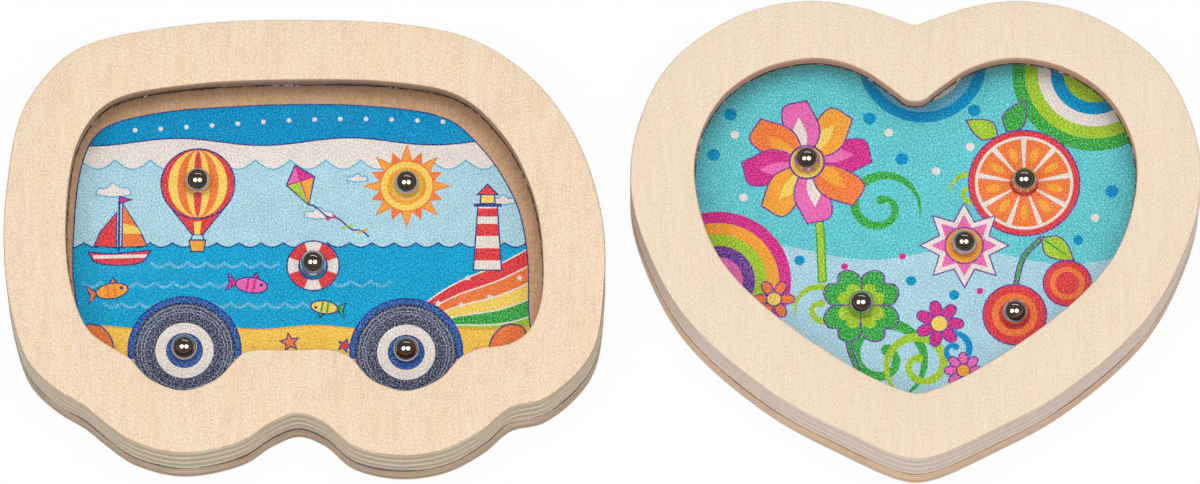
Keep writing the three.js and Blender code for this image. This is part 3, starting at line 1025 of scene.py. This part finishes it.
def cherries(fruits, joint):
    """Cherries on their stems, each given by its middle and radius, with a leaf."""
    joint = Vector(joint)
    patches = []
    for middle, radius in fruits:
        top = middle + Vector((0, radius * 0.8))
        stem = curve_through(top, top.lerp(joint, 0.5) + Vector((-1.2, 1.4)), joint)
        patches += inked(ribbon(stem, 1.1), "green", "purple")
    patches += inked(leaf(joint, joint + Vector((7.5, -5.5))), "lime", "purple")
    patches += inked(ribbon([joint, joint + Vector((5.6, -4.1))], 0.4), "green")
    for middle, radius in fruits[::-1]:
        gloss = ((radius * 0.72, "orange"), (radius * 0.5, "red"))
        patches += rings(middle, (radius, "red", "purple"), *gloss)
    return patches


def daisy(middle, reach, ink, eye, count):
    """A round-petalled flower."""
    petal = curve_through(
        (0, 0), (0.55, -0.24), (0.92, -0.168), (1, 0), (0.92, 0.168), (0.55, 0.24), closed=True,
    )
    patches = []
    for i in range(count):
        patches += stamped(middle, (petal, ink, "purple"), size=reach, turn=360 * i / count)
    return patches + rings(middle, (reach * 0.36, eye, "purple"))


def orchard(seats):
    """The heart's picture: fruit and toys among scrolls, with one of them at each of its five seats."""
    left, right, foot, top = -62, 62, -60, 60
    patches = inked(down_to([(left, top), (right, top)], foot), "turquoise")
    patches += inked(down_to(swell((left, -1), (right, -4), 1.6, 46), foot), "pale blue")
    patches += rings(
        (-46, -9), (17, "magenta"), (14.2, "amber"), (11.4, "lime"), (8.6, "purple"), (5.8, "pink"),
    )
    patches += rings(
        (42, 42), (19, "green"), (16, "lime"), (13, "off-white"), (10, "deep blue"), (7, "lime"),
    )
    patches += rings((2, 45), (15, "deep blue"), (12.4, "light blue"), (9.8, "off-white"))
    for root, reach, turns, start, way, width, ink in (
        ((-4, -38), 11, 1.35, -70, 1, 3.4, "green"),
        ((-2, -38), 9, 1.4, 250, -1, 2.6, "lime"),
        ((-28, -18), 6.5, 1.3, 200, -1, 2.2, "lime"),
        ((1, 6), 9.5, 1.3, -20, 1, 2.8, "green"),
        ((8, 12), 5.2, 1.25, 190, -1, 2.0, "lime"),
        ((4, -26), 5.0, 1.3, 180, -1, 2.0, "deep blue"),
    ):
        patches += curl(root, reach, turns, start, way, width, ink)
    patches += dots([(-47, 22), (-10.5, 31), (-43, 32), (14, 33), (46, 13), (-3, 21)], 1.5, "deep blue")
    patches += dots([(-40, 11.5), (-42, 27), (-6, 27.5), (13, 24), (42, 6.5), (5, 18)], 1.0, "off-white")
    patches += dots([(-27, -4), (-1, -9), (38, 1), (9, -12.5), (13, -29)], 1.2, "deep blue")
    patches += dots([(-16.5, -5.5), (-3, -3), (15, -11.5), (30, -27)], 0.8, "magenta")
    patches += pinwheel(seats[0], 15.5) + citrus_slice(seats[1], 13)
    for root, tip, ink in (((-6, 11.5), (-13.5, 15.5), "lime"), ((-4, 12.5), (0.5, 20.5), "green")):
        patches += inked(leaf(seats[1] + Vector(root), seats[1] + Vector(tip)), ink, "purple")
    patches += daisy((5.5, -19.5), 5.6, "magenta", "yellow", 7)
    patches += daisy((-33, -13.5), 4.8, "orange", "yellow", 6)
    patches += daisy((11, -31), 4.4, "pink", "amber", 8)
    patches += clover(seats[3], 9.2)
    patches += cherries([(seats[4], 7.4), (Vector((35.4, -9.6)), 5.6)], (29.5, 1.5))
    patches += inked(smoothed(star(seats[2], 10.4, 6.3, 8, 0), 3), "off-white", "purple")
    patches += inked(star(seats[2], 7.6, 4.7, 8, 0), "pink")
    return patches + rings(seats[2], (4.4, "amber", "purple"))


BALLS = range(1, 6)
card = print_material()
PICTURES = {"van": (seaside, "navy"), "heart": (orchard, "turquoise")}
for puzzle, (design, trim) in PICTURES.items():
    node = f"{puzzle}_picture"
    low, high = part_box(f"{puzzle}_floor_panel")
    middle = (low + high).xy / 2
    seats = [(sum(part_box(f"{puzzle}_ball_{n}"), Vector()).xy / 2 - middle) / MM for n in BALLS]
    bottom, top = (corner.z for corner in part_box(node))
    outer, *holes = (smoothed(outline) for outline in flat_outlines(node, top))
    picture = printed_sheet(
        f"{puzzle}_printed_picture", outer, holes, design(seats), middle, bottom, top, INK[trim], card,
    )
    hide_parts(node)
    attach(picture, f"{puzzle}_puzzle")

# Top frames: seven-ply birch with the opening sawn through, and a wider pocket milled from below
# that leaves a lip over the window. Face and outer edge are sanded, and the cutter has scorched
# the wall of the opening a little brown. Painted shade: a dark band along the foot of the opening
# wall, dark tones on the pocket wall and, in part, the dark tones of the torn fibres stand in for
# the shade in the gap under the lip.
PLIES_IN_FRAME = 7
FRAME_EASE = 0.5 * MM
SCORCHED_WITH_SHADED_FOOT = {
    "van": {
        **BIRCH["van"], "ply_pale": (208, 168, 134), "ply_dark": (170, 130, 98), "glue": (140, 110, 84),
    },
    "heart": {
        **BIRCH["heart"], "ply_pale": (242, 190, 166), "ply_dark": (218, 160, 138),
        # This stain tone colours the dark band at the foot of the opening wall, which is painted shade of
        # the gap under the lip.
        "glue": (160, 120, 100), "stain": (84, 58, 46),
    },
}
# Painted shade: the pocket wall's plies get dark brown tones so that the bare floor under the lip lies in
# deeper shade.
POCKET_PLY_DARKENED_AS_SHADE = {"ply_pale": (132, 100, 74), "ply_dark": (104, 76, 56)}
FRAY_SPACING = 0.22 * MM
FRAY_LENGTH = 1.1 * MM
FRAY_THICKNESS = 0.45 * MM
FRAY_RISE = 0.2 * MM
FRAY_LEAN = math.radians(24)
FRAY_LEAST = (0.5, 0.5, 0.35)
FRAY_MOST = (1.2, 1.2, 1.3)
SCORCH_PATCH = (3 * MM, 3 * MM, 3 * MM)
SCORCH_EDGE = (0.4, 0.7)
FRESH_PATCH = (1.6 * MM, 1.6 * MM, 1.6 * MM)
FRESH_EDGE = (0.6, 0.64)


def frayed_arris_tree():
    """Short torn fibres along a line, each a sliver of random size that leans a little away."""
    lengths = ("Height", "Spacing", "Length", "Thickness", "Lean")
    tree, given, made = new_shape_tree("Frayed arris", {**dict.fromkeys(lengths, "Float"), "Seed": "Int"})
    rise = add(tree, "ShaderNodeCombineXYZ", {"Z": given["Height"]})
    raised = add(tree, "GeometryNodeTransform", {"Geometry": given["Geometry"], "Translation": rise})
    points = add(
        tree, "GeometryNodeCurveToPoints", {"Curve": raised, "Length": given["Spacing"]}, mode="LENGTH",
    )
    sliver = add(tree, "GeometryNodeMeshCone", {
        "Vertices": 5, "Radius Top": 0.0, "Radius Bottom": maths(tree, "DIVIDE", given["Thickness"], 2),
        "Depth": given["Length"],
    })
    sizes = add(
        tree, "FunctionNodeRandomValue", {0: FRAY_LEAST, 1: FRAY_MOST, "Seed": given["Seed"]},
        data_type="FLOAT_VECTOR",
    )
    fibres = add(tree, "GeometryNodeInstanceOnPoints", {
        "Points": points, "Instance": sliver, "Rotation": points.outputs["Rotation"], "Scale": sizes,
    })
    least = maths(tree, "MULTIPLY", given["Lean"], -1)
    lean = add(
        tree, "FunctionNodeRandomValue",
        {
            0: add(tree, "ShaderNodeCombineXYZ", {0: least, 1: least}),
            1: add(tree, "ShaderNodeCombineXYZ", {0: given["Lean"], 1: given["Lean"]}),
            "Seed": maths(tree, "ADD", given["Seed"], 1),
        },
        data_type="FLOAT_VECTOR",
    )
    leaning = add(tree, "GeometryNodeRotateInstances", {
        "Instances": fibres, "Rotation": lean, "Local Space": True,
    })
    return end_shape_tree(tree, given, made, leaning)


def torn_fibre_shade_material():
    """Torn wood fibres, with fresh pale ones here and there. Their dark tones are partly scorch from
    the cutter and partly painted shade of the gap under the lip.
    """
    material, tree, shader = new_material("torn fibres")
    place = add(tree, "ShaderNodeTexCoord").outputs["Object"]
    patchy = rising(tree, noise(tree, place, SCORCH_PATCH, detail=3), *SCORCH_EDGE)
    # Partly scorch, partly painted shade: these dark browns stand in for the shade in the gap under the
    # lip.
    shade = mixed(tree, patchy, colour(58, 38, 28), colour(98, 70, 52))
    fresh = rising(tree, noise(tree, place, FRESH_PATCH, 4), *FRESH_EDGE)
    shade = mixed(tree, fresh, shade, colour(228, 208, 190))
    wire(tree, shader, {"Base Color": shade, "Roughness": 0.8})
    return material


frayed_arris = frayed_arris_tree()
torn = torn_fibre_shade_material()
for cut, puzzle in enumerate(PUZZLES):
    node = f"{puzzle}_top_frame"
    bottom, top = (corner.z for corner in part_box(node))
    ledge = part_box(f"{puzzle}_window")[1].z
    outer = smoothed(flat_outlines(node, bottom)[0])
    pocket, opening = (smoothed(outline) for outline in flat_outlines(node, ledge))
    ply = (top - bottom) / PLIES_IN_FRAME
    sizes = {"board_top": top, "board_bottom": bottom, "ply": ply, "top_stain": 0.6, "bottom_stain": 0.85}
    birch = board_material(f"{puzzle} birch", BIRCH[puzzle], cut, **sizes)
    # The opening wall's stain is moved down to the ledge: the dark band at the wall's foot is painted shade
    # of the gap under the lip.
    lip_with_painted_shade_at_foot = {**sizes, "board_bottom": ledge}
    scorched_with_shaded_foot = board_material(f"{puzzle} opening wall", SCORCHED_WITH_SHADED_FOOT[puzzle], cut, **lip_with_painted_shade_at_foot)
    # The pocket wall's dark tones are painted shade for the floor under the lip.
    pocket_wall_darkened_as_shade = board_material(f"{puzzle} pocket wall", {**BIRCH[puzzle], **POCKET_PLY_DARKENED_AS_SHADE}, cut, **sizes)
    top_board = board(
        f"{puzzle}_top_board", ply,
        [
            ([outer], False, bottom, top, JOINT_EASE, FRAME_EASE, birch),
            ([opening], True, ledge, top, 0, FRAME_EASE, scorched_with_shaded_foot),
            ([pocket], True, bottom, ledge, 0, 0, pocket_wall_darkened_as_shade),
        ],
        [(bottom, -1), (ledge, -1), (top, 1)], birch,
    )
    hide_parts(node)
    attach(top_board, f"{puzzle}_puzzle")
    arris = closed_lines("arris", [opening], clockwise=False)
    slivers = grown(
        arris, frayed_arris, height=ledge + FRAY_RISE, spacing=FRAY_SPACING, length=FRAY_LENGTH,
        thickness=FRAY_THICKNESS, lean=FRAY_LEAN, seed=cut, material=torn,
    )
    bpy.data.objects.remove(arris)
    fibres = in_scene(f"{puzzle}_torn_fibres", slivers)
    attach(fibres, f"{puzzle}_puzzle")

# Windows: clear acrylic cut to the pocket and glued up under the lip. They keep the frame's own
# shape, and get faint wipe marks that show only in a glancing light.
WIPE_MARK = (30 * MM, 4 * MM, 30 * MM)
WIPE_EDGE = (0.5, 0.75)
WIPE_DULLNESS = 0.05


def looked_at(tree, ray):
    """1 where the camera sees a surface straight or through something clear, else 0."""
    return maths(tree, "MAXIMUM", ray["Is Camera Ray"], ray["Is Transmission Ray"])


def shown(tree, share, first, second):
    """Ends a material with its two shaders mixed by a share."""
    either = add(tree, "ShaderNodeMixShader", {0: share, 1: first, 2: second})
    wire(tree, tree.nodes["Material Output"], {"Surface": either})


clear, tree, acrylic = new_material("clear acrylic")
place = add(tree, "ShaderNodeTexCoord").outputs["Object"]
wiped = rising(tree, noise(tree, place, WIPE_MARK, detail=4), *WIPE_EDGE)
wire(tree, acrylic, {
    "Base Color": colour(253, 253, 252), "IOR": 1.49, "Transmission Weight": 1,
    "Roughness": maths(tree, "MULTIPLY", wiped, WIPE_DULLNESS),
})
ray = add(tree, "ShaderNodeLightPath").outputs
shown(tree, looked_at(tree, ray), add(tree, "ShaderNodeBsdfTransparent"), acrylic)
for puzzle in PUZZLES:
    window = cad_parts[f"{puzzle}_window"]
    window.data.materials.clear()
    window.data.materials.append(clear)

# Balls: hardened steel bearing balls, ground and polished, each loose over its seat. Handling
# has dulled them a little, so their gloss has a soft edge.
BALL_SUBDIVISIONS = 5
CLOUDING_PATCH = (1.4 * MM, 1.4 * MM, 1.4 * MM)
LEAST_DULLNESS = 0.03
CLOUDED_DULLNESS = 0.06


def steel_ball_tree():
    """A ball of a given diameter about a given point."""
    tree, given, made = new_shape_tree(
        "Steel ball", {"Diameter": "Float", "Middle": "Vector", "Subdivisions": "Int"},
    )
    ball = add(tree, "GeometryNodeMeshIcoSphere", {
        "Radius": maths(tree, "DIVIDE", given["Diameter"], 2), "Subdivisions": given["Subdivisions"],
    })
    smooth = add(tree, "GeometryNodeSetShadeSmooth", {"Geometry": ball})
    moved = add(tree, "GeometryNodeTransform", {"Geometry": smooth, "Translation": given["Middle"]})
    return end_shape_tree(tree, given, made, moved)


steel, tree, polish = new_material("polished steel")
place = add(tree, "ShaderNodeTexCoord").outputs["Object"]
clouding = noise(tree, place, CLOUDING_PATCH, detail=3)
wire(tree, polish, {
    "Metallic": 1,
    "Base Color": mixed(tree, clouding, colour(196, 190, 184), colour(210, 205, 200)),
    "Roughness": maths(tree, "MULTIPLY_ADD", clouding, CLOUDED_DULLNESS, LEAST_DULLNESS),
})
ball_tree = steel_ball_tree()
for puzzle in PUZZLES:
    for number in BALLS:
        node = f"{puzzle}_ball_{number}"
        low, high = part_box(node)
        blank = in_scene("blank", bpy.data.meshes.new("blank"))
        shape = grown(
            blank, ball_tree, diameter=high.z - low.z, middle=(low + high) / 2,
            subdivisions=BALL_SUBDIVISIONS, material=steel,
        )
        bpy.data.objects.remove(blank)
        ball = in_scene(f"{puzzle}_steel_ball_{number}", shape)
        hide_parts(node)
        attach(ball, node)

# Table, lamps and camera: a wide pale table with two round softboxes hung side by side over it, and
# plainer lamps above, in front and behind, as for a catalogue picture. The balls mirror a room that
# is pale low down and dark higher up.
TABLE_SIZE = 30.0
TABLE_TONE = 0.88
TABLE_GLOW = 0.955
table_mesh = bpy.data.meshes.new("table")
half = TABLE_SIZE / 2
corners = [(-half, -half, 0), (half, -half, 0), (half, half, 0), (-half, half, 0)]
table_mesh.from_pydata(corners, [], [(0, 1, 2, 3)])
table = in_scene("table", table_mesh)
pale, tree, paint = new_material("pale table")
wire(tree, paint, {"Base Color": (TABLE_TONE, TABLE_TONE, TABLE_TONE, 1), "Roughness": 1})
ray = add(tree, "ShaderNodeLightPath").outputs
seen = maths(tree, "MAXIMUM", looked_at(tree, ray), ray["Is Glossy Ray"])
glow = add(tree, "ShaderNodeEmission", {"Color": (1, 1, 1, 1), "Strength": 1})
shown(tree, maths(tree, "MULTIPLY", seen, TABLE_GLOW), paint, glow)
table_mesh.materials.append(pale)

PHOTO_WIDTH = 1200
PIXELS_PER_MM = 4.3
SENSOR = 36.0
CAMERA_DISTANCE = 3.6
CAMERA_ELEVATION = 71.5
AIM = Vector((-0.65, -3.3, 19)) * MM
camera_data = bpy.data.cameras.new("camera")
camera_data.sensor_width = SENSOR
camera_data.lens = SENSOR * CAMERA_DISTANCE / (PHOTO_WIDTH / PIXELS_PER_MM * MM)
camera_data.clip_start = CAMERA_DISTANCE / 10
camera_data.clip_end = TABLE_SIZE
camera = in_scene("camera", camera_data)


def towards(azimuth, elevation):
    """The direction of a place seen from the puzzles: azimuth 0 is the camera's side, 90 is +X."""
    turn, rise = math.radians(azimuth), math.radians(elevation)
    level = math.cos(rise)
    return Vector((math.sin(turn) * level, -math.cos(turn) * level, math.sin(rise)))


def aimed(obj, direction, distance):
    """Places an object that far off in a direction, looking back at the puzzles."""
    obj.location = AIM + direction * distance
    obj.rotation_euler = direction.to_track_quat("Z", "Y").to_euler()


aimed(camera, towards(0, CAMERA_ELEVATION), CAMERA_DISTANCE)
bpy.context.scene.camera = camera


def lamp(name, direction, distance, size, radiance, shape="DISK", glossy=True):
    """A soft area lamp of a size along each side, and of a brightness per unit of its area."""
    data = bpy.data.lights.new(name, "AREA")
    data.shape = shape
    data.size, data.size_y = size
    face = size[0] * size[1] * (math.pi / 4 if shape == "DISK" else 1)
    data.energy = radiance * math.pi * face
    obj = in_scene(name, data)
    obj.visible_glossy = glossy
    aimed(obj, direction, distance)


SOFTBOX_APART = math.radians(21)
SOFTBOX_DISTANCE = 1.5
SOFTBOX_SIZE = 2 * SOFTBOX_DISTANCE * math.tan(math.radians(18))
for side in (-1, 1):
    aside = Vector((side, 0, 0)) * math.sin(SOFTBOX_APART)
    lamp(
        f"softbox {side}", towards(-22, 80) * math.cos(SOFTBOX_APART) + aside,
        distance=SOFTBOX_DISTANCE, size=(SOFTBOX_SIZE, SOFTBOX_SIZE), radiance=2.5,
    )
lamp("strip", towards(173, 38), distance=1.6, size=(1.5, 0.12), radiance=2.0, shape="RECTANGLE")
lamp(
    "overhead", towards(180, 82), distance=2.4, size=(1.1, 1.1), radiance=4.4, shape="SQUARE", glossy=False,
)
lamp(
    "fill", towards(0, 22), distance=2.4, size=(1.6, 0.7), radiance=2.0, shape="RECTANGLE", glossy=False,
)

AMBIENT = (0.25, 0.25, 0.25, 1)
ROOM_LOW = (0.55, 0.54, 0.53, 1)
ROOM_HIGH = (0.085, 0.065, 0.052, 1)
world = bpy.data.worlds.new("studio")
world.use_nodes = True
bpy.context.scene.world = world
tree = world.node_tree
ray = add(tree, "ShaderNodeLightPath").outputs
way = add(tree, "ShaderNodeTexCoord").outputs["Generated"]
up = add(tree, "ShaderNodeSeparateXYZ", {0: way}).outputs["Z"]
mirrored = mixed(tree, rising(tree, up, 0.0, 0.12), ROOM_LOW, ROOM_HIGH)
around = mixed(tree, ray["Is Glossy Ray"], AMBIENT, mirrored)
around = mixed(tree, looked_at(tree, ray), around, (1, 1, 1, 1))
wire(tree, tree.nodes["Background"], {"Color": around})

bpy.context.scene.view_settings.view_transform = "Standard"
